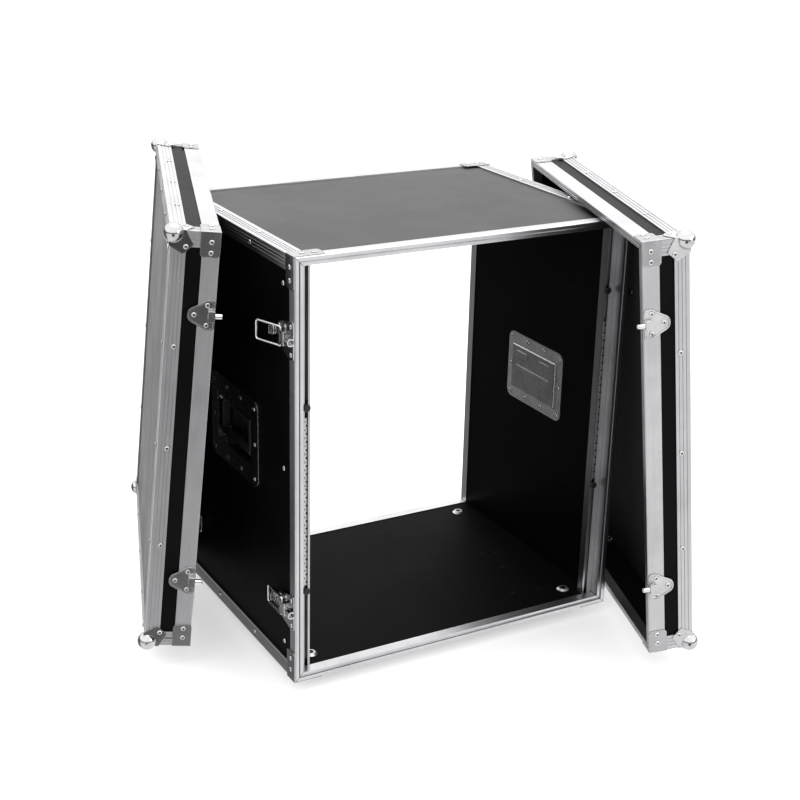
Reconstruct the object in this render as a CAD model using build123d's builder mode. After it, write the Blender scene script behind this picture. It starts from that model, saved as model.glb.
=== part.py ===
from build123d import *
import os

# Portable 19-inch equipment rack case with two lift-off covers, millimetres.
# Origin: floor level, centre of the case body. +X to the case's right, front opening faces -Y, +Z up.

# case body
case_w = 512.0          # outside width over the extrusions
case_d = 394.0          # body depth, front rim to rear rim
case_h = 592.0          # body height without the feet
board = 9.0             # laminated ply of the body
skin = 2.0              # aluminium standing outside the boards
foot_h = 18.0
foot_r = 18.0
foot_inset = 44.0
zb = foot_h             # underside of the body
zt = foot_h + case_h    # top of the body
hw, hd = case_w / 2, case_d / 2

# aluminium lengths
edge_leg = 22.0         # leg of the ribbed edge angle
rim_depth = 16.0        # depth of the body's opening frame
rim_width = skin + board + 1.0

# 19-inch mounting
rack_pitch = 465.1      # slot centre to slot centre
rack_clear = 454.0      # clear opening between the rails
rail_set = 16.0         # rails stand this far behind the front rim
slot_w = 5.0
strip_len = 240.0
strip_low = {"left": zb + 133.0, "right": zb + 199.0}
screw_z = {"left": (zb + 126.0, zb + 388.0), "right": (zb + 190.0, zb + 486.0)}

# corner braces
brace_t = 1.2
brace_leg, brace_w = 44.0, 23.0

# butterfly latches, measured from the rim (u), the side face (n) and the latch centre
latch_z = {"upper": zb + 483.0, "lower": zb + 102.0}
plate_t = 1.5
dowel_n = 4.5           # dowel axis above the side face
dowel_r = 3.5
loop_u = 32.0           # loop hinge behind the rim
loop_len = 44.0
loop_half = 12.7
wire_r = 1.5
turn_u = 63.0

# recessed side handles
handle_z = zb + 300.0
dish_l, dish_h = 114.0, 69.0
dish_x = 241.5          # bottom of the dish
grip_x, grip_dz = 249.0, 24.0

# covers, in their own frame: x from the rim outwards, y across, z up
cover_d = 64.0
cover_board = 7.0
cover_leg = 21.0
cover_rim_leg = 23.0
cover_brace_leg = 34.0
ball_r, ball_in = 13.0, 4.5
mitre_gap = 0.1         # kept open at every mitre

# where the two covers lean on the body: rim's lower near corner, yaw, roll, lean
cover_places = {
    "left": Pos(-353.1, -62.0, 31.5) * Rot(0, 0, -18.69) * Rot(1.13, 0, 0) * Rot(0, 5.2, 0)
    * Pos(0, hw, 0) * Rot(0, 0, 180),
    "right": Pos(206.3, -370.3, 33.5) * Rot(0, 0, -18.2) * Rot(0, -5.9, 0) * Pos(0, hw, 0),
}


def extruded_length(length, outline, grooves, soften):
    """One mitred length lying along X: outline points are (across the rim, down from the rim)."""
    with BuildPart() as bar:
        with BuildSketch(Plane.YZ.offset(-length / 2)):
            with BuildLine():
                Polyline(*[(b, -a) for a, b in outline], close=True)
            make_face()
            for a, b, wide, deep in grooves:
                with Locations((b, -a)):
                    Rectangle(deep, wide, mode=Mode.SUBTRACT)
        extrude(amount=length)
        outer = bar.edges().filter_by(Axis.X).sort_by_distance((0, 0, 0))[0]
        fillet(outer, soften)
        end = length / 2 - mitre_gap
        split(bisect_by=Plane(origin=(end, 0, 0), z_dir=(1, 0, -1)), keep=Keep.BOTTOM)
        split(bisect_by=Plane(origin=(-end, 0, 0), z_dir=(-1, 0, -1)), keep=Keep.BOTTOM)
    return bar.part


def ring_of_four(wide, tall, outline, grooves, soften):
    """Four mitred lengths round an opening in the XZ plane, rim at y = 0, bottom at z = 0."""
    across = extruded_length(wide, outline, grooves, soften)
    upright = extruded_length(tall, outline, grooves, soften)
    with BuildPart() as ring:
        with Locations(Location((0, 0, tall)), Location((0, 0, 0), (0, 180, 0))):
            add(across)
        with Locations(
            Location((wide / 2, 0, tall / 2), (0, 90, 0)), Location((-wide / 2, 0, tall / 2), (0, -90, 0))
        ):
            add(upright)
    return ring.part


def brace(leg, width):
    """Two-legged corner brace over the +X, +Z edge; width along Y from y = 0."""
    with BuildPart() as plate:
        with BuildSketch(Plane.XY):
            with Locations((-leg / 2 + brace_t, width / 2)):
                RectangleRounded(leg, width, 5.0)
            with Locations((-leg / 4 + brace_t, width / 2)):
                Rectangle(leg / 2, width)
        extrude(amount=brace_t)
        with BuildSketch(Plane.YZ):
            with Locations((width / 2, -leg / 2 + brace_t)):
                RectangleRounded(width, leg, 5.0)
            with Locations((width / 2, -leg / 4 + brace_t)):
                Rectangle(width, leg / 2)
        extrude(amount=brace_t)
        corner = plate.edges().filter_by(Axis.Y).sort_by_distance((brace_t, width / 2, brace_t))[0]
        fillet(corner, 1.0)
    return plate.part


# one tubular rivet head, standing on z = 0 with its axis along +Z
with BuildPart() as rivet:
    with BuildSketch(Plane.XZ):
        with BuildLine():
            Polyline((0, 0), (3.5, 0), (3.4, 0.5), (2.6, 1.2), (1.8, 1.2), (1.4, 0.3), (0, 0.3), close=True)
        make_face()
    revolve(axis=Axis.Z)


def rivet_at(x, y, z, facing):
    """Location that stands a rivet on a face whose outward normal is given."""
    return Plane(origin=(x, y, z), z_dir=facing).location


# ---------------------------------------------------------------- boards
with BuildPart() as top_panel:
    with Locations((0, 0, zt - skin - board / 2)):
        Box(case_w - 2 * (skin + board), case_d - 8.0, board)

with BuildPart() as bottom_panel:
    with Locations((0, 0, zb + skin + board / 2)):
        Box(case_w - 2 * (skin + board), case_d - 8.0, board)
    with Locations((0, 0, zb + skin)):
        with GridLocations(case_w - 2 * foot_inset, case_d - 2 * foot_inset, 2, 2):
            Cylinder(3.1, 3 * board, mode=Mode.SUBTRACT)

with BuildPart() as side_board:
    with BuildSketch(Plane.YZ.offset(hw - skin - board)):
        with Locations((0, zb + case_h / 2)):
            Rectangle(case_d - 8.0, case_h - 2 * skin)
        with Locations((0, handle_z)):
            RectangleRounded(dish_l + 4.0, dish_h + 4.0, 3.0, mode=Mode.SUBTRACT)
    extrude(amount=board)

right_panel = side_board.part
left_panel = mirror(side_board.part, about=Plane.YZ)

# ---------------------------------------------------------------- aluminium edges
with BuildPart() as edge_angle:
    with BuildSketch(Plane.XZ.offset(-(hd - rim_depth))):
        with BuildLine():
            Polyline(
                (0, 0), (-edge_leg, 0), (-edge_leg, -skin), (-skin, -skin), (-skin, -edge_leg), (0, -edge_leg),
                close=True,
            )
        make_face()
        for groove in (6.0, 10.5, 15.0):
            with Locations((-groove, 0), (0, -groove)):
                Rectangle(1.4, 1.4, mode=Mode.SUBTRACT)
    extrude(amount=case_d - 2 * rim_depth)
    fillet(edge_angle.edges().filter_by(Axis.Y).sort_by_distance((0, 0, 0))[0], 1.8)

with BuildPart() as edge_extrusions:
    with Locations(
        Location((hw, 0, zt)),
        Location((hw, 0, zb), (0, 90, 0)),
        Location((-hw, 0, zb), (0, 180, 0)),
        Location((-hw, 0, zt), (0, 270, 0)),
    ):
        add(edge_angle.part)

body_rim = [
    (0, 0), (rim_width, 0), (rim_width, rim_depth), (skin + board, rim_depth), (skin + board, 4), (skin, 4),
    (skin, rim_depth), (0, rim_depth),
]
rim_ring = ring_of_four(case_w, case_h, body_rim, [(6.4, 0, 1.8, 5.0), (9.9, 0, 4.4, 2.0)], 1.8)
front_frame = Pos(0, -hd, zb) * rim_ring
rear_frame = Pos(0, hd, zb) * Rot(0, 0, 180) * rim_ring

body_brace = brace(brace_leg, brace_w)
with BuildPart() as corner_braces:
    for near in (-hd + 1.0, hd - 1.0 - brace_w):
        with Locations(
            Location((hw, near, zt)),
            Location((hw, near, zb), (0, 90, 0)),
            Location((-hw, near, zb), (0, 180, 0)),
            Location((-hw, near, zt), (0, 270, 0)),
        ):
            add(body_brace)

# ---------------------------------------------------------------- rack rails
rail_y = -hd + rail_set
slot_x = rack_pitch / 2
rail_in = rack_clear / 2
wall_x = hw - skin - board
rail_z0, rail_h = zb + rim_width - 0.5, case_h - 2 * rim_width + 1.0

with BuildPart() as rail:
    with BuildSketch(Plane.XY.offset(rail_z0)):
        with Locations(((rail_in + wall_x) / 2, rail_y + 1.0)):
            Rectangle(wall_x - rail_in, 2.0)
        with Locations((wall_x - 1.0, rail_y + 15.5)):
            Rectangle(2.0, 31.0)
        with Locations((rail_in + 7.5, rail_y + 6.0)):
            Rectangle(15.0, 12.0)
            Rectangle(12.0, 9.0, mode=Mode.SUBTRACT)
        with Locations((slot_x, rail_y)):
            Rectangle(slot_w, 5.0, mode=Mode.SUBTRACT)
    extrude(amount=rail_h)

rack_rails = {"right": rail.part, "left": mirror(rail.part, about=Plane.YZ)}

hole_pitch = 11.2
with BuildPart() as strip:
    with BuildSketch(Plane.XZ.offset(-(rail_y + 2.2))):
        with Locations((slot_x, strip_len / 2)):
            Rectangle(7.8, strip_len)
        with Locations((slot_x - 1.25, strip_len / 2 - hole_pitch / 4)):
            with GridLocations(1, hole_pitch, 1, 21):
                Circle(1.25, mode=Mode.SUBTRACT)
        with Locations((slot_x + 1.25, strip_len / 2 + hole_pitch / 4)):
            with GridLocations(1, hole_pitch, 1, 21):
                Circle(1.25, mode=Mode.SUBTRACT)
    extrude(amount=-3.0)

with BuildPart() as rail_screws:
    for side, sign in (("left", -1), ("right", 1)):
        for z in screw_z[side]:
            with Locations(Location((sign * slot_x, rail_y, z), (90, 0, 0))):
                Cylinder(5.0, 3.5, align=(Align.CENTER, Align.CENTER, Align.MIN))
                Cylinder(2.4, 3.0, align=(Align.CENTER, Align.CENTER, Align.MAX))
            with Locations((sign * slot_x, rail_y + 4.0, z)):
                Box(7.8, 2.4, 8.6)
    fillet(rail_screws.faces().sort_by(Axis.Y)[:4].edges(), 1.2)

# ---------------------------------------------------------------- feet
foot_spots = [(x, y) for x in (-hw + foot_inset, hw - foot_inset) for y in (-hd + foot_inset, hd - foot_inset)]

with BuildPart() as feet:
    with Locations(*[(x, y, 0) for x, y in foot_spots]):
        Cone(foot_r - 1.5, foot_r + 1.0, foot_h, align=(Align.CENTER, Align.CENTER, Align.MIN))
        Cylinder(3.1, 3 * foot_h, mode=Mode.SUBTRACT)
    fillet(feet.faces().filter_by(Plane.XY).group_by(Axis.Z)[0].edges().sort_by(SortBy.LENGTH)[-4:], 2.0)

floor_z = zb + skin + board
with BuildPart() as cup_washers:
    with Locations(*[(x, y, floor_z) for x, y in foot_spots]):
        Cone(9.5, 6.5, 2.6, align=(Align.CENTER, Align.CENTER, Align.MIN))
        Cylinder(4.6, 20.0, mode=Mode.SUBTRACT)

with BuildPart() as foot_bolts:
    with Locations(*[(x, y, floor_z) for x, y in foot_spots]):
        Cylinder(4.5, 2.0, align=(Align.CENTER, Align.CENTER, Align.MIN))
        Cylinder(3.0, floor_z - 6.0, align=(Align.CENTER, Align.CENTER, Align.MAX))
    with Locations(*[(x, y, floor_z + 2.0) for x, y in foot_spots]):
        Box(5.0, 1.0, 1.6, mode=Mode.SUBTRACT)
        Box(1.0, 5.0, 1.6, mode=Mode.SUBTRACT)

# ---------------------------------------------------------------- butterfly latches
# canonical latch: x out of the side face, y away from the rim, z up, centred on the dowel
with BuildPart() as latch_plate:
    with BuildSketch(Plane.YZ):
        with BuildLine():
            Polyline(
                (2, -25), (14, -25), (44, -17), (52, -9.5), (73, -9.5), (73, 9.5), (52, 9.5), (44, 17), (14, 25),
                (2, 25), close=True,
            )
        make_face()
    extrude(amount=plate_t)
    fillet(latch_plate.edges().filter_by(Axis.X), 4.0)
    with BuildSketch(Plane.XZ.offset(-2.0)):
        with Locations((dowel_n, 0)):
            Circle(dowel_r + 1.8)
        with Locations((-10.0, 0)):
            Rectangle(20.0, 40.0, mode=Mode.SUBTRACT)
    extrude(amount=-11.0)
    with Locations((plate_t + 2.75, 28.0, 0)):
        Box(5.5, 16.0, 18.8)
    fillet(latch_plate.faces().sort_by(Axis.X)[-2:].edges().filter_by(Axis.Z), 1.5)
    with Locations((plate_t + 5.5, 24.0, 0), (plate_t + 5.5, 29.0, 0)):
        Box(1.6, 1.8, 15.0, mode=Mode.SUBTRACT)
    with Locations(Location((dowel_n, 0, 0), (90, 0, 0))):
        Cylinder(dowel_r + 0.2, 40.0, mode=Mode.SUBTRACT)
    with Locations((dowel_n, loop_u, 0)):
        Cylinder(wire_r + 0.06, 40.0, mode=Mode.SUBTRACT)
    with Locations(Location((0, turn_u, 0), (0, 90, 0))):
        Cylinder(2.56, 10.0, mode=Mode.SUBTRACT)

with BuildPart() as wire_loop:
    with BuildLine(Plane.YZ) as wire_path:
        legs = Polyline(
            (loop_u, 4.0), (loop_u, loop_half), (loop_u + loop_len, loop_half), (loop_u + loop_len, -loop_half),
            (loop_u, -loop_half), (loop_u, -4.0),
        )
        fillet(legs.vertices()[1:-1], 3.2)
    with BuildSketch(Plane(origin=(0, loop_u, 4.0), z_dir=(0, 0, 1))):
        Circle(wire_r)
    sweep(path=wire_path.line)

with BuildPart() as butterfly:
    with Locations(Location((-1.6, turn_u, 0), (0, 90, 0))):
        Cylinder(2.5, 4.0, align=(Align.CENTER, Align.CENTER, Align.MIN))
    with Locations(Location((plate_t + 0.3, turn_u, 0), (0, 90, 0))):
        Cylinder(7.0, 1.6, align=(Align.CENTER, Align.CENTER, Align.MIN))
    with Locations((plate_t + 3.5, turn_u, 0)):
        Box(5.0, 2.0, 12.0)
    fillet(butterfly.edges().filter_by(Axis.Y).sort_by(Axis.X)[-2:], 1.8)

latch_turns = {
    ("right", "front"): Location((hw, -hd, 0)),
    ("right", "rear"): Location((hw, hd, 0), (180, 0, 0)),
    ("left", "rear"): Location((-hw, hd, 0), (0, 0, 180)),
    ("left", "front"): Location((-hw, -hd, 0), (0, 180, 0)),
}
latch_spots = {
    (side, end, level): Pos(0, 0, latch_z[level]) * spot
    for (side, end), spot in latch_turns.items()
    for level in latch_z
}
# loops lie folded back on the side, and one is left standing off it
loop_lift = {key: 0.0 for key in latch_spots}
loop_lift["left", "front", "upper"] = 20.0

with BuildPart() as latch_plates:
    with Locations(*latch_spots.values()):
        add(latch_plate.part)

# ---------------------------------------------------------------- recessed handles
# canonical handle: right-hand side of the case
with BuildPart() as dish:
    with BuildSketch(Plane.YZ.offset(hw - skin)):
        with Locations((0, handle_z)):
            RectangleRounded(160.0, 126.0, 16.0)
    extrude(amount=1.5)
    with BuildSketch(Plane.YZ.offset(dish_x - 1.5)):
        with Locations((0, handle_z)):
            RectangleRounded(dish_l + 3.0, dish_h + 3.0, 2.5)
    extrude(amount=hw - skin - dish_x + 1.5)
    fillet(dish.faces().sort_by(Axis.X)[0].edges(), 2.4)
    with BuildSketch(Plane.YZ.offset(dish_x)):
        with Locations((0, handle_z)):
            RectangleRounded(dish_l, dish_h, 2.0)
    extrude(amount=40.0, mode=Mode.SUBTRACT)
    with BuildSketch(Plane.YZ.offset(dish_x - 1.5)):
        with Locations((0, handle_z + 3.0)):
            RectangleRounded(92.0, 3.2, 1.5)
        with Locations((-30.0, handle_z + 24.0), (30.0, handle_z + 24.0)):
            RectangleRounded(30.0, 8.0, 2.0)
    extrude(amount=-1.4)
    with Locations(Location((grip_x, 0, handle_z + grip_dz), (90, 0, 0))):
        Cylinder(2.5, 200.0, mode=Mode.SUBTRACT)

with BuildPart() as backing:
    with BuildSketch(Plane.YZ.offset(wall_x - 1.5)):
        with Locations((0, handle_z)):
            RectangleRounded(145.0, 107.0, 12.0)
            RectangleRounded(dish_l + 3.6, dish_h + 3.6, 2.8, mode=Mode.SUBTRACT)
    extrude(amount=1.5)

with BuildPart() as hinge_pin:
    with Locations(Location((grip_x, 0, handle_z + grip_dz), (90, 0, 0))):
        Cylinder(2.5, dish_l + 3.0)

with BuildPart() as grip:
    with Locations(*[Location((grip_x, y, handle_z + grip_dz), (90, 0, 0)) for y in (-46.0, 46.0)]):
        Cylinder(4.6, 6.0)
    with Locations(*[(grip_x, y, handle_z + grip_dz - 22.0) for y in (-46.0, 46.0)]):
        Box(9.2, 6.0, 44.0)
    with Locations(Location((grip_x, 0, handle_z + grip_dz - 44.0), (90, 0, 0))):
        Cylinder(6.0, 98.0)
    fillet(grip.faces().filter_by(Axis.Y).sort_by(Axis.Y)[0].edges().filter_by(GeomType.CIRCLE), 1.5)
    fillet(grip.faces().filter_by(Axis.Y).sort_by(Axis.Y)[-1].edges().filter_by(GeomType.CIRCLE), 1.5)
    with Locations(Location((grip_x, 0, handle_z + grip_dz), (90, 0, 0))):
        Cylinder(2.56, 200.0, mode=Mode.SUBTRACT)

# ---------------------------------------------------------------- rivets of the body
rivet_spots = []
for x, out in ((-hw, -1), (hw, 1)):
    for y in (-hd + 1.0 + brace_w / 2, hd - 1.0 - brace_w / 2):
        for drop in (15.0, 32.0):
            rivet_spots += [rivet_at(x + out * brace_t, y, z, (out, 0, 0)) for z in (zt - drop, zb + drop)]
            rivet_spots.append(rivet_at(x - out * drop, y, zt + brace_t, (0, 0, 1)))
            rivet_spots.append(rivet_at(x - out * drop, y, zb - brace_t, (0, 0, -1)))
    for y in (-63.0, 63.0):
        rivet_spots += [rivet_at(x, y, z, (out, 0, 0)) for z in (zt - 12.75, zb + 12.75)]
        rivet_spots.append(rivet_at(x - out * 12.75, y, zt, (0, 0, 1)))
        rivet_spots.append(rivet_at(x - out * 12.75, y, zb, (0, 0, -1)))
    for z in (zb + 45.0, zb + 300.0, zb + 550.0):
        rivet_spots.append(rivet_at(x - out * skin, -hd + 38.0, z, (out, 0, 0)))
    face = x - out * (skin - 1.5)
    for y, dz in ((-68, 51), (-23, 52), (23, 52), (68, 51), (-69, 0), (69, 0), (-68, -51), (-23, -52), (23, -52),
                  (68, -51)):
        rivet_spots.append(rivet_at(face, y, handle_z + dz, (out, 0, 0)))
        inner = x - out * (skin + board + 1.5)
        rivet_spots.append(rivet_at(inner, y * 0.93, handle_z + dz * 0.88, (-out, 0, 0)))
for (side, end, level) in latch_spots:
    out, back = (1 if side == "right" else -1), (1 if end == "front" else -1)
    for u, dz in ((9.0, 18.5), (9.0, -18.5), (42.0, 11.5)):
        rivet_spots.append(
            rivet_at(out * (hw + plate_t), -back * (hd - u), latch_z[level] + dz, (out, 0, 0))
        )

with BuildPart() as case_rivets:
    with Locations(*rivet_spots):
        add(rivet.part)

# ---------------------------------------------------------------- one cover, built once in its own frame
outer_face = cover_d - skin
panel_in = outer_face - cover_board
wall_in = hw - skin - cover_board

with BuildPart() as cover_panel:
    with Locations((outer_face - cover_board / 2, 0, case_h / 2)):
        Box(cover_board, case_w - 2 * skin, case_h - 2 * skin)

with BuildPart() as cover_walls:
    with Locations(*[((panel_in + 4.0) / 2, y, case_h / 2) for y in (-wall_in - 3.5, wall_in + 3.5)]):
        Box(panel_in - 4.0, cover_board, case_h - 2 * skin)
    with Locations(*[((panel_in + 4.0) / 2, 0, z) for z in (skin + 3.5, case_h - skin - 3.5)]):
        Box(panel_in - 4.0, 2 * (wall_in - mitre_gap), cover_board)

edge_outline = [(0, 0), (cover_leg, 0), (cover_leg, skin), (skin, skin), (skin, cover_leg), (0, cover_leg)]
edge_grooves = [(groove, 0, 1.4, 1.4) for groove in (6.5, 11.5, 16.5)]
edge_grooves += [(0, groove, 1.4, 1.4) for groove in (6.5, 11.5, 16.5)]
outer_ring = (
    Pos(cover_d, 0, 0) * Rot(0, 0, 90) * ring_of_four(case_w, case_h, edge_outline, edge_grooves, 1.8)
)

# short ribbed angles close the gap between the outer ring and the rim at each corner
short_from, short_to = cover_rim_leg + mitre_gap, cover_d - cover_leg - mitre_gap
with BuildPart() as short_angle:
    with BuildSketch(Plane.YZ.offset(short_from)):
        with BuildLine():
            Polyline(*[(hw - a, case_h - b) for a, b in edge_outline], close=True)
        make_face()
        for a, b, wide, deep in edge_grooves:
            with Locations((hw - a, case_h - b)):
                Rectangle(wide, deep, mode=Mode.SUBTRACT)
    extrude(amount=short_to - short_from)
    mirror(about=Plane.XZ)
    mirror(about=Plane.XY.offset(case_h / 2))
cover_edges = Compound(children=[*outer_ring.solids(), *short_angle.part.solids()])

rim_lip = skin + cover_board + 1.0
cover_rim_outline = [
    (0, 0), (rim_lip, 0), (rim_lip, 14), (rim_lip - 1, 14), (rim_lip - 1, 4), (skin, 4), (skin, cover_rim_leg),
    (0, cover_rim_leg),
]
cover_rim = (
    Rot(0, 0, -90) * ring_of_four(case_w, case_h, cover_rim_outline, [(4.4, 0, 1.6, 3.0), (8.2, 0, 1.6, 3.0)], 1.2)
)

rim_brace = brace(cover_brace_leg, cover_rim_leg + 2.5)
with BuildPart() as cover_braces:
    with Locations(
        Location((0, -hw, case_h), (0, 0, -90)),
        Location((0, hw, case_h)) * Rot(0, 0, -90) * Rot(0, 270, 0),
        Location((0, -hw, 0)) * Rot(0, 0, -90) * Rot(0, 90, 0),
        Location((0, hw, 0)) * Rot(0, 0, -90) * Rot(0, 180, 0),
    ):
        add(rim_brace)

# one ball corner at the origin, its faces looking along +X, +Y and +Z: a pointed wing on each
wing_t, wing_side, wing_far, wing_near = 1.2, 20.0, 30.5, 17.5
wing_rivet = 20.5
wing_outline = [
    (wing_t, wing_t), (-wing_side, wing_t), (-wing_far, -wing_near), (-wing_near, -wing_far), (wing_t, -wing_side)
]
with BuildPart() as ball_corner:
    for face, thick in ((Plane.YZ, wing_t), (Plane.XZ, -wing_t), (Plane.XY, wing_t)):
        with BuildSketch(face) as lobe:
            with BuildLine():
                Polyline(*wing_outline, close=True)
            make_face()
            fillet(lobe.vertices().sort_by_distance((0, 0, 0))[-2:], 3.0)
        extrude(amount=thick)
    with Locations((-ball_in, -ball_in, -ball_in)):
        Sphere(ball_r)
    Box(100.0, 100.0, 100.0, align=(Align.MAX, Align.MAX, Align.MAX), mode=Mode.SUBTRACT)

with BuildPart() as ball_corners:
    with Locations(
        Location((cover_d, hw, case_h)),
        Location((cover_d, -hw, case_h), (90, 0, 0)),
        Location((cover_d, -hw, 0), (180, 0, 0)),
        Location((cover_d, hw, 0), (270, 0, 0)),
    ):
        add(ball_corner.part)

keeper_z = [latch_z[level] - zb for level in latch_z]
with BuildPart() as keepers:
    for y, out in ((-hw, -1), (hw, 1)):
        for z in keeper_z:
            face = Plane(origin=(0, y, z), x_dir=(1, 0, 0), z_dir=(0, -1, 0))
            with BuildSketch(face) as tongue:
                with BuildLine():
                    Polyline((1, -20), (11, -20), (36, -7), (36, 7), (11, 20), (1, 20), close=True)
                make_face()
                fillet(tongue.vertices().group_by(Axis.X)[-1], 10.0)
                fillet(tongue.vertices().group_by(Axis.X)[0], 4.0)
            extrude(amount=-out * plate_t)
            with BuildSketch(face):
                add(tongue.sketch_local)
                offset(amount=-2.0, mode=Mode.SUBTRACT)
            extrude(amount=-out * (plate_t + 0.7))
    for y, out in ((-hw, -1), (hw, 1)):
        for z in keeper_z:
            with Locations((5.5, y + out * (plate_t + 3.7), z)):
                Box(9.0, 7.4, 14.6)
            with Locations(Location((0, y + out * dowel_n, z), (0, 90, 0))):
                Cylinder(dowel_r + 0.05, 22.0, mode=Mode.SUBTRACT)

with BuildPart() as dowel_pins:
    for y, out in ((-hw, -1), (hw, 1)):
        for z in keeper_z:
            with Locations(Location((-9.0, y + out * dowel_n, z), (0, 90, 0))):
                Cylinder(dowel_r, 19.0, align=(Align.CENTER, Align.CENTER, Align.MIN))
    chamfer(dowel_pins.faces().filter_by(Axis.X).sort_by(Axis.X)[:4].edges(), 1.0)

cover_spots = []
for y, out in ((-hw, -1), (hw, 1)):
    for z in keeper_z:
        for x, dz in ((11.0, 13.5), (11.0, -13.5), (27.5, 0.0)):
            cover_spots.append(rivet_at(x, y + out * plate_t, z + dz, (0, out, 0)))
    for z, up in ((0.0, -1), (case_h, 1)):
        for run in (13.0, 27.0):
            cover_spots.append(rivet_at(cover_rim_leg / 2, y + out * brace_t, z - up * run, (0, out, 0)))
            cover_spots.append(rivet_at(cover_rim_leg / 2, y - out * run, z + up * brace_t, (0, 0, up)))
        cover_spots.append(rivet_at(cover_d - wing_rivet, y + out * wing_t, z - up * wing_rivet, (0, out, 0)))
        cover_spots.append(rivet_at(cover_d - wing_rivet, y - out * wing_rivet, z + up * wing_t, (0, 0, up)))
        cover_spots.append(rivet_at(cover_d + wing_t, y - out * wing_rivet, z - up * wing_rivet, (1, 0, 0)))
    for z in (case_h * 0.26, case_h * 0.5, case_h * 0.74):
        cover_spots.append(rivet_at(cover_d - 14.0, y, z, (0, out, 0)))
        cover_spots.append(rivet_at(cover_d, y - out * 14.0, z, (1, 0, 0)))
for z, up in ((0.0, -1), (case_h, 1)):
    for y in (-case_w * 0.25, 0.0, case_w * 0.25):
        cover_spots.append(rivet_at(cover_d - 14.0, y, z, (0, 0, up)))
        cover_spots.append(rivet_at(cover_d, y, z - up * 14.0, (1, 0, 0)))

with BuildPart() as cover_rivets:
    with Locations(*cover_spots):
        add(rivet.part)

cover_nodes = {
    "panel": cover_panel.part, "walls": cover_walls.part, "edge_extrusions": cover_edges, "rim_extrusions": cover_rim,
    "rim_braces": cover_braces.part, "ball_corners": ball_corners.part, "latch_keepers": keepers.part,
    "dowel_pins": dowel_pins.part, "rivets": cover_rivets.part,
}

# ---------------------------------------------------------------- every piece in its own node
nodes = {
    "top_panel": top_panel.part, "bottom_panel": bottom_panel.part, "left_panel": left_panel,
    "right_panel": right_panel, "edge_extrusions": edge_extrusions.part, "front_frame": front_frame,
    "rear_frame": rear_frame, "corner_braces": corner_braces.part, "rail_screws": rail_screws.part,
    "feet": feet.part, "cup_washers": cup_washers.part, "foot_bolts": foot_bolts.part,
    "latch_plates": latch_plates.part, "case_rivets": case_rivets.part,
}
for side in ("left", "right"):
    hand = (lambda piece: piece) if side == "right" else (lambda piece: mirror(piece, about=Plane.YZ))
    nodes["rack_rail_" + side] = rack_rails[side]
    nodes["nut_strip_" + side] = Pos(0, 0, strip_low[side]) * hand(strip.part)
    nodes["handle_dish_" + side] = hand(dish.part)
    nodes["handle_backing_" + side] = hand(backing.part)
    nodes["handle_grip_" + side] = hand(grip.part)
    for name, piece in cover_nodes.items():
        nodes["cover_" + side + "_" + name] = cover_places[side] * piece
nodes["handle_pins"] = Compound(children=[hinge_pin.part, mirror(hinge_pin.part, about=Plane.YZ)])
for (side, end, level), spot in latch_spots.items():
    tag = "_".join((side, end, level))
    lift = Pos(dowel_n, loop_u, 0) * Rot(0, 0, -loop_lift[side, end, level]) * Pos(0, -loop_u, 0)
    nodes["latch_loop_" + tag] = spot * lift * wire_loop.part
    nodes["latch_turn_" + tag] = spot * butterfly.part

os.makedirs("parts", exist_ok=True)
for name, piece in nodes.items():
    piece.label = name
    export_step(piece, "parts/" + name + ".step")
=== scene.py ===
import math

import bpy
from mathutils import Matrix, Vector


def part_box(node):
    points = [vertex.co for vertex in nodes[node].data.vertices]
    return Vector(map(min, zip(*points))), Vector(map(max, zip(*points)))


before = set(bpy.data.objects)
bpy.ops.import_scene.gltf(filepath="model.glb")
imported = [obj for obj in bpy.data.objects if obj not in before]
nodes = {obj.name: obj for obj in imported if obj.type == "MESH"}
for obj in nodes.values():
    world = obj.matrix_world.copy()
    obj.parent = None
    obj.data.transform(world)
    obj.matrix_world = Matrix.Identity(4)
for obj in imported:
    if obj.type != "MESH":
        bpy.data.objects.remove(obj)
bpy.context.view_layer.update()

frame_low, frame_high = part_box("front_frame")
HALF_WIDE = float(frame_high[0])
HALF_TALL = float(frame_high[2] - frame_low[2]) / 2
MIDDLE = float(frame_high[2] + frame_low[2]) / 2

# colours of the bare materials, and of the shade painted into hollows
ALUMINIUM = (0.66, 0.66, 0.675)
RAIL = (0.55, 0.55, 0.56)
LAMINATE = (0.0045, 0.0045, 0.0050)
# near-black tone of the shade painted into grooves, holes and seams
PAINTED_SHADE = (0.012, 0.012, 0.012)
WORN_BRIGHT = (0.93, 0.93, 0.94)

# sizes in metres
PEBBLE = 0.0011
WORN_EDGE = 0.0005
# how far the painted shade in hollows looks for nearby surfaces
PAINTED_SHADE_REACH = 0.002
BROKEN_EDGE = 0.0008

# noise scales across and along the die lines of drawn metal
ACROSS, ALONG = 900.0, 5.0
FINE_ACROSS, FINE_ALONG = 2600.0, 14.0


def scaled(tone, share):
    return tuple(share * channel for channel in tone)


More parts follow.
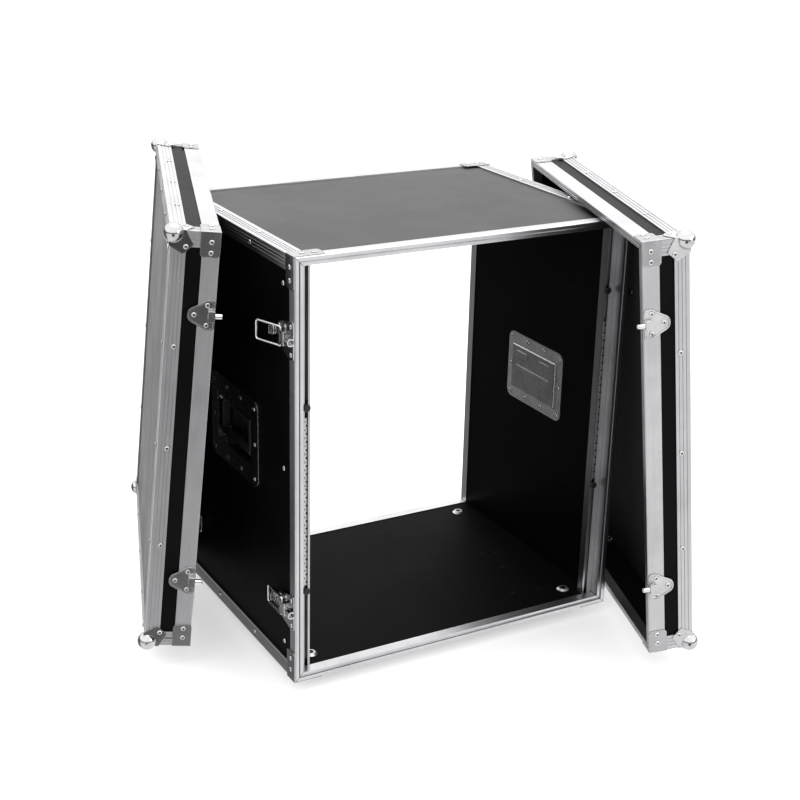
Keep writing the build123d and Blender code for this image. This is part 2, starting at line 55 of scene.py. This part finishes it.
# ---------------------------------------------------------------- node-tree helpers
class Shader:
    """A material's node tree, built one node at a time."""

    def __init__(self, name):
        self.material = bpy.data.materials.new(name)
        self.material.use_nodes = True
        self.tree = self.material.node_tree
        self.surface = self.tree.nodes["Principled BSDF"]
        self.coordinates = self.add("ShaderNodeTexCoord")
        self.place = self.coordinates.outputs["Object"]

    def add(self, kind, **settings):
        node = self.tree.nodes.new(kind)
        for key, value in settings.items():
            setattr(node, key, value)
        return node

    def feed(self, socket, value):
        """Links an output to a socket, or sets the socket's own value."""
        if isinstance(value, bpy.types.NodeSocket):
            self.tree.links.new(value, socket)
        elif isinstance(value, (tuple, list)) and socket.type == "RGBA" and len(value) == 3:
            socket.default_value = (*value, 1.0)
        else:
            socket.default_value = value

    def math(self, operation, first, second=0.0):
        node = self.add("ShaderNodeMath", operation=operation)
        for socket, value in zip(node.inputs, (first, second)):
            self.feed(socket, value)
        return node.outputs[0]

    def dot(self, first, second):
        node = self.add("ShaderNodeVectorMath", operation="DOT_PRODUCT")
        self.feed(node.inputs[0], first)
        self.feed(node.inputs[1], second)
        return node.outputs["Value"]

    def stretched(self, scale, turn=(0.0, 0.0, 0.0), vector=None):
        """Coordinates turned, then scaled per axis, so a noise runs along one direction."""
        node = self.add("ShaderNodeMapping", vector_type="TEXTURE")
        self.feed(node.inputs["Vector"], vector or self.place)
        node.inputs["Rotation"].default_value = turn
        stretch = self.add("ShaderNodeVectorMath", operation="MULTIPLY")
        self.feed(stretch.inputs[0], node.outputs[0])
        stretch.inputs[1].default_value = scale
        return stretch.outputs[0]

    def noise(self, scale, detail, rough, vector=None, distortion=0.0):
        node = self.add("ShaderNodeTexNoise")
        self.feed(node.inputs["Vector"], vector or self.place)
        keys = ("Scale", "Detail", "Roughness", "Distortion")
        for key, value in zip(keys, (scale, detail, rough, distortion)):
            node.inputs[key].default_value = value
        return node.outputs["Fac"]

    def cells(self, scale, feature="F1", output="Distance"):
        node = self.add("ShaderNodeTexVoronoi", feature=feature)
        self.feed(node.inputs["Vector"], self.place)
        node.inputs["Scale"].default_value = scale
        return node.outputs[output]

    def spread(self, value, from_low, from_high, to_low, to_high):
        """Maps a range onto another and clamps it."""
        node = self.add("ShaderNodeMapRange")
        keys = ("Value", "From Min", "From Max", "To Min", "To Max")
        for key, number in zip(keys, (value, from_low, from_high, to_low, to_high)):
            self.feed(node.inputs[key], number)
        return node.outputs[0]

    def blend(self, factor, first, second):
        node = self.add("ShaderNodeMix", data_type="RGBA")
        sockets = (node.inputs["Factor"], node.inputs[6], node.inputs[7])
        for socket, value in zip(sockets, (factor, first, second)):
            self.feed(socket, value)
        return node.outputs[2]

    def rounded(self, radius):
        """A normal that turns over the edges, so they catch the light as broken edges do."""
        bevel = self.add("ShaderNodeBevel", samples=4)
        bevel.inputs["Radius"].default_value = radius
        return bevel.outputs[0]

    def worn_edges(self, base, strength, tone=WORN_BRIGHT, radius=WORN_EDGE):
        """Rubs the base brighter along its edges, where a rounded normal leaves the true one."""
        return self.blend(self.math("MULTIPLY", self.edge_mask(radius), strength), base, tone)

    def edge_mask(self, radius):
        """1 along edges, 0 on faces."""
        true_normal = self.add("ShaderNodeNewGeometry").outputs["True Normal"]
        return self.spread(self.dot(self.rounded(radius), true_normal), 0.995, 0.90, 0.0, 1.0)

    def paint_shade(self, base, reach=PAINTED_SHADE_REACH, dark=0.55, closed=0.25, clear=0.85):
        """Paints shade into grooves, holes and seams by how much open sky they see: as open as closed or less
        is dark, clear or more is bare.
        """
        open_sky = self.add("ShaderNodeAmbientOcclusion", samples=6)
        open_sky.inputs["Distance"].default_value = reach
        return self.blend(self.spread(open_sky.outputs["AO"], closed, clear, dark, 1.0), PAINTED_SHADE, base)

    def bump(self, height, distance, strength, below=None):
        node = self.add("ShaderNodeBump")
        node.inputs["Strength"].default_value = strength
        node.inputs["Distance"].default_value = distance
        self.feed(node.inputs["Height"], height)
        if below:
            self.feed(node.inputs["Normal"], below)
        return node.outputs[0]

    def finish(self, **sockets):
        """Feeds the surface's sockets: names with spaces are written with underscores."""
        for key, value in sockets.items():
            self.feed(self.surface.inputs[key.replace("_", " ")], value)
        return self.material


# ---------------------------------------------------------------- materials
def laminate(name, tone, gloss, wear, shine, outward=None):
    """Black phenolic face on plywood: fine pebbled skin, faint mottling, and hairline scuffs.

    A board with an outward direction is dull on its other face, which is the inside of a cover.
    """
    s = Shader(name)
    mottle = s.noise(9.0, 5.0, 0.6)
    grain = s.noise(520.0, 3.0, 0.6)
    pebbles = s.cells(1.0 / PEBBLE, "SMOOTH_F1")
    scratch = s.noise(6.0, 2.0, 0.5, s.stretched((1.0, 30.0, 14.0), (0.3, 0.5, 0.4)))
    scratched = s.spread(scratch, 0.70, 0.735, 0.0, 1.0)
    scuffs = s.math("MULTIPLY", scratched, s.spread(mottle, 0.52, 0.66, 0.0, wear))
    base = s.blend(s.spread(mottle, 0.35, 0.7, 0.0, 1.0), scaled(tone, 0.75), scaled(tone, 1.3))
    base = s.blend(s.math("MULTIPLY", scuffs, 0.30), base, (0.16, 0.16, 0.165))
    rough = s.spread(mottle, 0.3, 0.7, gloss - 0.03, gloss + 0.04)
    rough = s.math("ADD", rough, s.math("MULTIPLY", scuffs, 0.12))
    rough = s.math("ADD", rough, s.spread(grain, 0.3, 0.7, -0.03, 0.03))
    if outward:
        facing = s.dot(s.coordinates.outputs["Normal"], outward)
        rough = s.math("ADD", rough, s.spread(facing, -0.9, -0.5, 0.45, 0.0))
    normal = s.bump(pebbles, 0.00010, 0.30)
    normal = s.bump(grain, 0.00004, 0.35, normal)
    return s.finish(Base_Color=base, Roughness=rough, Normal=normal, Specular_IOR_Level=shine)


def drawn_skin(s, die_lines, tone, rough):
    """Drawn aluminium's colour and roughness: die lines, soft stains, small nicks and worn edges."""
    stains = s.noise(14.0, 4.0, 0.6)
    nicks = s.spread(s.noise(230.0, 2.0, 0.6), 0.70, 0.74, 0.0, 1.0)
    base = s.blend(s.spread(stains, 0.35, 0.7, 0.0, 1.0), tone, scaled(tone, 0.86))
    base = s.blend(s.spread(die_lines, 0.3, 0.7, 0.0, 0.22), base, scaled(tone, 0.72))
    base = s.blend(s.math("MULTIPLY", nicks, 0.35), base, (0.30, 0.30, 0.31))
    base = s.worn_edges(base, 0.45, radius=0.0006)
    lined = s.spread(die_lines, 0.25, 0.75, rough - 0.06, rough + 0.06)
    return base, s.math("ADD", lined, s.spread(stains, 0.3, 0.7, -0.03, 0.05))


def drawn_metal(name, along, tone, rough):
    """Extruded aluminium: die lines running along one axis, with hairlines between them."""
    s = Shader(name)
    lines = tuple(ALONG if axis == along else ACROSS for axis in "XYZ")
    fine = tuple(FINE_ALONG if axis == along else FINE_ACROSS for axis in "XYZ")
    die_lines = s.noise(1.0, 3.0, 0.6, s.stretched(lines))
    hairlines = s.noise(1.0, 2.0, 0.5, s.stretched(fine))
    base, gloss = drawn_skin(s, die_lines, tone, rough)
    normal = s.bump(die_lines, 0.00005, 0.30)
    normal = s.bump(hairlines, 0.00002, 0.35, normal)
    # the colour carries shade painted into grooves and seams
    return s.finish(Base_Color=s.paint_shade(base), Metallic=1.0, Roughness=gloss, Normal=normal)


def ring_metal(name, centre_z, tone, rough, place=None):
    """Drawn metal on a mitred ring: die lines run sideways on its top and bottom, and upwards on its sides.

    A cover's ring stands at a place, its middle and turn, and its own wide axis is Y.
    """
    s = Shader(name)
    here = s.place
    if place:
        back = s.add("ShaderNodeMapping", vector_type="TEXTURE")
        s.feed(back.inputs["Vector"], here)
        back.inputs["Location"].default_value, back.inputs["Rotation"].default_value = place
        here = back.outputs[0]
    apart = s.add("ShaderNodeSeparateXYZ")
    s.feed(apart.inputs[0], here)
    wide_axis = "Y" if place else "X"
    # how far in from the side and from the top or bottom: the mitre is where they are equal
    in_wide = s.math("SUBTRACT", HALF_WIDE, s.math("ABSOLUTE", apart.outputs[wide_axis]))
    from_middle = s.math("ABSOLUTE", s.math("SUBTRACT", apart.outputs["Z"], centre_z))
    in_tall = s.math("SUBTRACT", HALF_TALL, from_middle)
    upright = s.math("LESS_THAN", in_wide, in_tall)
    sideways = tuple(ALONG if axis == wide_axis else ACROSS for axis in "XYZ")
    lines_sideways = s.noise(1.0, 3.0, 0.6, s.stretched(sideways, vector=here))
    lines_up = s.noise(1.0, 3.0, 0.6, s.stretched((ACROSS, ACROSS, ALONG), vector=here))
    flat = s.math("MULTIPLY", lines_sideways, s.math("SUBTRACT", 1.0, upright))
    die_lines = s.math("ADD", s.math("MULTIPLY", lines_up, upright), flat)
    base, gloss = drawn_skin(s, die_lines, tone, rough)
    apart_by = s.math("ABSOLUTE", s.math("SUBTRACT", in_wide, in_tall))
    base = s.blend(s.spread(apart_by, 0.0002, 0.0007, 0.8, 0.0), base, (0.05, 0.05, 0.05))
    normal = s.bump(die_lines, 0.00005, 0.35)
    # the colour carries shade painted into grooves and seams
    return s.finish(Base_Color=s.paint_shade(base), Metallic=1.0, Roughness=gloss, Normal=normal)


def plated(name, tone, rough, pits=0.5, hollow_shade=(PAINTED_SHADE_REACH, 0.1, 0.25, 0.85)):
    """Bright plate on pressed steel: slight ripple, fingermarks, fine polishing lines and small pits."""
    s = Shader(name)
    smears = s.noise(38.0, 4.0, 0.62, distortion=0.6)
    polish = s.noise(1.0, 2.0, 0.5, s.stretched((240.0, 1500.0, 900.0), (0.4, 0.2, 0.7)))
    ripple = s.noise(90.0, 1.0, 0.4)
    pitted = s.spread(s.noise(800.0, 1.0, 0.5), 0.73, 0.77, 0.0, pits)
    base = s.blend(s.spread(smears, 0.38, 0.68, 0.0, 1.0), tone, scaled(tone, 0.84))
    base = s.blend(s.math("MULTIPLY", pitted, 0.5), base, (0.24, 0.23, 0.22))
    base = s.worn_edges(base, 0.4, (0.96, 0.96, 0.97))
    # shade painted into hollows, holes and seams
    base = s.paint_shade(base, *hollow_shade)
    gloss = s.spread(smears, 0.3, 0.72, rough, rough + 0.09)
    gloss = s.math("ADD", gloss, s.spread(polish, 0.3, 0.7, -0.02, 0.03))
    normal = s.bump(ripple, 0.00012, 0.16, s.rounded(BROKEN_EDGE))
    normal = s.bump(polish, 0.00002, 0.18, normal)
    return s.finish(Base_Color=base, Metallic=1.0, Roughness=gloss, Normal=normal)


def zinc(name, tone, rough):
    """Passivated zinc: crystals of slightly different grey, a dull bloom and fine scratches."""
    s = Shader(name)
    grey = s.add("ShaderNodeSeparateColor")
    s.feed(grey.inputs[0], s.cells(210.0, output="Color"))
    bloom = s.noise(26.0, 4.0, 0.65)
    scratch = s.noise(1.0, 2.0, 0.5, s.stretched((160.0, 1700.0, 1100.0), (0.9, 0.1, 0.3)))
    base = s.blend(s.spread(grey.outputs[0], 0.0, 1.0, 0.0, 0.55), tone, scaled(tone, 0.80))
    base = s.blend(s.spread(bloom, 0.4, 0.7, 0.0, 0.5), base, scaled(tone, 0.70))
    base = s.worn_edges(base, 0.4, (0.92, 0.92, 0.93))
    # shade painted into hollows and seams
    base = s.paint_shade(base, dark=0.2)
    gloss = s.spread(bloom, 0.3, 0.7, rough - 0.05, rough + 0.08)
    gloss = s.math("ADD", gloss, s.spread(scratch, 0.3, 0.7, -0.04, 0.04))
    return s.finish(Base_Color=base, Metallic=1.0, Roughness=gloss, Normal=s.bump(scratch, 0.00002, 0.3))


def rubber(name):
    """Moulded black rubber: fine matt texture with patches of dust."""
    s = Shader(name)
    grain = s.noise(900.0, 3.0, 0.6)
    dust = s.noise(60.0, 4.0, 0.7)
    base = s.blend(s.spread(dust, 0.45, 0.75, 0.0, 0.5), (0.014, 0.014, 0.015), (0.055, 0.053, 0.050))
    rough = s.spread(grain, 0.3, 0.7, 0.62, 0.80)
    return s.finish(Base_Color=base, Roughness=rough, Normal=s.bump(grain, 0.00008, 0.5))


def moulded(name, tone, rough):
    """Moulded black plastic or powder coat with an orange-peel skin and polished wear on its edges."""
    s = Shader(name)
    peel = s.noise(650.0, 2.0, 0.5)
    clouds = s.noise(30.0, 3.0, 0.6)
    base = s.blend(s.spread(clouds, 0.35, 0.7, 0.0, 1.0), tone, scaled(tone, 1.7))
    base = s.worn_edges(base, s.spread(clouds, 0.45, 0.6, 0.15, 0.7), (0.22, 0.22, 0.23), 0.0006)
    gloss = s.spread(peel, 0.3, 0.7, rough - 0.05, rough + 0.07)
    return s.finish(Base_Color=base, Roughness=gloss, Normal=s.bump(peel, 0.00006, 0.4))


# ---------------------------------------------------------------- a finish for every CAD node
def side_of(name):
    return "left" if "left" in name else "right"


def cover_place(side):
    """The cover's middle and turn, and its outward direction, read from its panel's largest face."""
    panel_low, panel_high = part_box("cover_" + side + "_panel")
    mesh = nodes["cover_" + side + "_panel"].data
    normal = max(mesh.polygons, key=lambda face: face.area).normal
    if (normal.x > 0) != (side == "right"):
        normal = -normal
    middle = [(a + b) / 2 for a, b in zip(panel_low, panel_high)]
    turn = (0.0, -math.asin(normal.z), math.atan2(normal.y, normal.x))
    return (middle, turn), tuple(normal)


# a rivet's hollow centre gets deeper painted shade: reach, darkness, and the openness where it is full and
# where it ends
RIVET_HOLLOW_SHADE = (0.003, 0.05, 0.66, 0.93)
FINISHES = {
    "top_board": (laminate, LAMINATE, 0.38, 0.9, 0.58),
    "side_board": (laminate, LAMINATE, 0.40, 0.8, 0.06),
    "floor_board": (laminate, LAMINATE, 0.60, 1.0, 0.10),
    "cover_wall": (laminate, LAMINATE, 0.42, 0.8, 0.12),
    "case_ring": (ring_metal, MIDDLE, ALUMINIUM, 0.34),
    "case_edge": (drawn_metal, "Y", ALUMINIUM, 0.34),
    "rail": (drawn_metal, "Z", RAIL, 0.36),
    "brace": (plated, (0.47, 0.47, 0.48), 0.17),
    "latch": (plated, (0.62, 0.62, 0.63), 0.14),
    "wire": (plated, (0.80, 0.80, 0.81), 0.09, 0.2),
    "ball": (plated, (0.60, 0.60, 0.61), 0.09, 0.3),
    "rivet": (plated, (0.88, 0.88, 0.89), 0.24, 0.2, RIVET_HOLLOW_SHADE),
    "handle_plate": (plated, (0.46, 0.46, 0.47), 0.22),
    "washer": (zinc, (0.74, 0.74, 0.74), 0.40),
    "backing": (zinc, (0.80, 0.80, 0.81), 0.42),
    "nut_strip": (zinc, (0.60, 0.60, 0.60), 0.36),
    "foot": (rubber,),
    "grip": (moulded, (0.018, 0.018, 0.019), 0.42),
    "black_screw": (moulded, (0.012, 0.012, 0.013), 0.34),
}
for side in ("left", "right"):
    place, outward = cover_place(side)
    FINISHES["cover_face_" + side] = (laminate, LAMINATE, 0.34, 0.8, 0.45, outward)
    FINISHES["cover_ring_" + side] = (ring_metal, 0.0, ALUMINIUM, 0.34, place)
finishes = {name: make(name, *how) for name, (make, *how) in FINISHES.items()}

# part of a node's name, and the finish it has: the first match counts
KINDS = (
    ("_rim_braces", "brace"), ("corner_braces", "brace"), ("ball_corners", "ball"), ("rivets", "rivet"),
    ("latch_keepers", "latch"), ("latch_plates", "latch"), ("latch_turn", "latch"), ("latch_loop", "wire"),
    ("dowel_pins", "wire"), ("handle_grip", "grip"), ("handle_dish", "handle_plate"),
    ("handle_backing", "backing"), ("handle_pins", "wire"), ("nut_strip", "nut_strip"), ("rack_rail", "rail"),
    ("rail_screws", "black_screw"), ("feet", "foot"), ("cup_washers", "washer"),
    ("foot_bolts", "black_screw"), ("front_frame", "case_ring"), ("rear_frame", "case_ring"),
    ("edge_extrusions", "case_edge"),
    ("top_panel", "top_board"), ("bottom_panel", "floor_board"), ("", "side_board"),
)


def finish_of(name):
    """The finish each CAD node gets, by the kind of piece it is."""
    if name.startswith("cover_"):
        if "_panel" in name:
            return "cover_face_" + side_of(name)
        if "_walls" in name:
            return "cover_wall"
        if "_extrusions" in name:
            return "cover_ring_" + side_of(name)
    return next(finish for part, finish in KINDS if part in name)


for name, node in nodes.items():
    node.data.materials.clear()
    node.data.materials.append(finishes[finish_of(name)])


# ---------------------------------------------------------------- stage, light and camera
FLOOR_REACH = 14.0


def studio_floor():
    """A wide pale floor with faint shadows. The metal reflects the studio instead of it."""
    corners = [(x * FLOOR_REACH, y * FLOOR_REACH, 0) for x, y in ((-1, -1), (1, -1), (1, 1), (-1, 1))]
    mesh = bpy.data.meshes.new("studio_floor")
    mesh.from_pydata(corners, [], [(0, 1, 2, 3)])
    floor = bpy.data.objects.new("studio_floor", mesh)
    bpy.context.collection.objects.link(floor)
    s = Shader("studio_floor")
    paper = (0.62, 0.62, 0.62)
    base = s.blend(s.noise(3.0, 2.0, 0.5), paper, scaled(paper, 0.985))
    mesh.materials.append(
        s.finish(Base_Color=base, Roughness=0.9, Emission_Color=(1.0, 1.0, 1.0), Emission_Strength=0.40)
    )
    floor.visible_glossy = False


# strength of the studio round the object
HORIZON, ZENITH, SEEN_BEHIND, DARK_BAND = 0.98, 1.30, 1.0, 0.10
# dark flags that the metal reflects: direction, cosines where it starts and is full, strength left there
FLAGS = (
    ((-0.60, 0.76, -0.25), 0.70, 0.93, 0.20),
    ((-0.38, -0.86, -0.36), 0.935, 0.985, 0.08),
)


def studio_world():
    """Soft white with a thin dark horizon, which the chrome shows, and dark flags low at the left."""
    world = bpy.data.worlds.new("studio")
    bpy.context.scene.world = world
    world.use_nodes = True
    tree = world.node_tree

    def node(kind, **settings):
        made = tree.nodes.new(kind)
        for key, value in settings.items():
            setattr(made, key, value)
        return made

    def ramp(value, from_low, from_high, to_low, to_high):
        made = node("ShaderNodeMapRange", interpolation_type="SMOOTHSTEP")
        tree.links.new(value, made.inputs["Value"])
        keys = ("From Min", "From Max", "To Min", "To Max")
        for key, number in zip(keys, (from_low, from_high, to_low, to_high)):
            if isinstance(number, bpy.types.NodeSocket):
                tree.links.new(number, made.inputs[key])
            else:
                made.inputs[key].default_value = number
        return made.outputs[0]

    sky = node("ShaderNodeTexCoord").outputs["Generated"]
    apart = node("ShaderNodeSeparateXYZ")
    tree.links.new(sky, apart.inputs[0])
    glow = HORIZON
    for direction, start, full, left in FLAGS:
        towards = node("ShaderNodeVectorMath", operation="DOT_PRODUCT")
        tree.links.new(sky, towards.inputs[0])
        towards.inputs[1].default_value = Vector(direction).normalized()
        glow = ramp(towards.outputs["Value"], start, full, glow, left)
    glow = ramp(apart.outputs["Z"], 0.02, 0.34, glow, ZENITH)
    height = node("ShaderNodeMath", operation="ABSOLUTE")
    tree.links.new(apart.outputs["Z"], height.inputs[0])
    glow = ramp(height.outputs[0], 0.04, 0.15, DARK_BAND, glow)
    strength = node("ShaderNodeMix", data_type="FLOAT")
    tree.links.new(node("ShaderNodeLightPath").outputs["Is Camera Ray"], strength.inputs[0])
    tree.links.new(glow, strength.inputs[2])
    strength.inputs[3].default_value = SEEN_BEHIND
    background = tree.nodes["Background"]
    tree.links.new(strength.outputs[0], background.inputs["Strength"])
    background.inputs["Color"].default_value = (1.0, 1.0, 1.0, 1.0)


def softbox(name, place, size, power):
    """A rectangular lamp aimed at the middle of the case."""
    light = bpy.data.lights.new(name, "AREA")
    light.shape = "RECTANGLE"
    light.size, light.size_y = size
    light.energy = power
    lamp = bpy.data.objects.new(name, light)
    bpy.context.collection.objects.link(lamp)
    lamp.location = place
    aim = Vector((0.0, 0.0, MIDDLE)) - Vector(place)
    lamp.rotation_euler = aim.to_track_quat("-Z", "Y").to_euler()


studio_floor()
studio_world()
softbox("overhead", (0.3, 0.2, 2.8), (2.6, 2.2), 24.0)
softbox("right_front", (1.6, -2.6, 1.2), (1.2, 1.6), 10.0)

CAMERA_PLACE = (-1.01338, -1.79415, 1.09529)
CAMERA_TURN = (69.30, -1.34, -29.13)    # degrees
camera_data = bpy.data.cameras.new("camera")
camera_data.sensor_width = 36.0
camera_data.lens = 67.71
camera = bpy.data.objects.new("camera", camera_data)
bpy.context.collection.objects.link(camera)
camera.location = CAMERA_PLACE
camera.rotation_euler = tuple(math.radians(angle) for angle in CAMERA_TURN)
bpy.context.scene.camera = camera
bpy.context.scene.view_settings.view_transform = "Standard"
bpy.context.scene.view_settings.look = "Medium High Contrast"
